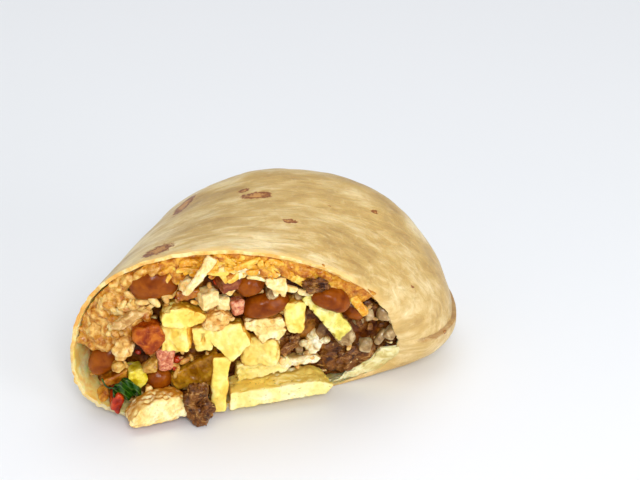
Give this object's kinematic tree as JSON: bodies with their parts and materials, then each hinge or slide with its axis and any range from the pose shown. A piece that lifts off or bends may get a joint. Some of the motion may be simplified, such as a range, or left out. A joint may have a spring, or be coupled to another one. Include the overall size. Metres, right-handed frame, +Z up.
{
  "type": "burrito half",
  "caption": "Half of a cut flour-tortilla burrito lying on its side, its slanted cut showing rice, beans, fried potato, cheese, steak, tomato and onion.",
  "frame": {"origin": "middle of the footprint, on the surface that the half lies on", "axes": "+Z up, +X along the cut's chord to the right as one faces the cut, +Y into the food, so the cut faces -Y"},
  "size_m": [0.13, 0.0806, 0.062],
  "materials": {
    "tortilla": "matte, floury, with toasted spots",
    "bean": "moist gloss",
    "tomato": "wet gloss",
    "onion": "moist, translucent",
    "pepper": "moist gloss",
    "leaf": "moist gloss",
    "potato": "satin, starchy",
    "fry": "satin, starchy",
    "steak": "moist satin, fibrous",
    "crumbs": "satin",
    "cheese": "soft satin",
    "radish": "moist gloss",
    "rice": "moist satin",
    "salsa": "wet"
  },
  "bodies": {
    "root": {"tortilla": "tortilla", "rice": "rice", "cheese_shreds": "cheese", "potatoes": "potato", "salsa": "salsa", "fries": "fry", "steak_strips": "steak", "bean_top_left": "bean", "bean_left": "bean", "bean_low_left": "bean", "bean_top": "bean", "bean_centre": "bean", "bean_right": "bean", "bean_far_right": "bean", "tomato_left": "tomato", "tomato_low": "tomato", "tomato_top": "tomato", "onion_pink": "onion", "onion_white": "onion", "onion_grey": "onion", "onion_red": "onion", "onion_pale_strand": "onion", "pepper_yellow": "pepper", "pepper_orange": "pepper", "leaf": "leaf", "potato_front": "potato", "potato_cube_left": "potato", "potato_cube_slit": "potato", "potato_diamond": "potato", "potato_beige": "potato", "potato_wedge": "potato", "potato_cube_right": "potato", "fry_upper": "fry", "fry_upright": "fry", "fry_long": "fry", "fry_short": "fry", "fry_slanted": "fry", "fry_golden_slab": "fry", "fry_pale_slab": "fry", "steak_hanging": "steak", "steak_right": "steak", "steak_small": "steak", "steak_top_right": "steak", "steak_tip": "steak", "crumbs_left": "crumbs", "crumbs_right": "crumbs", "cheese_flake_left": "cheese", "cheese_flake_right": "cheese", "cheese_curl": "cheese", "cheese_strand": "cheese", "cheese_smear": "cheese", "radish_bit": "radish"}
  },
  "joints": []
}
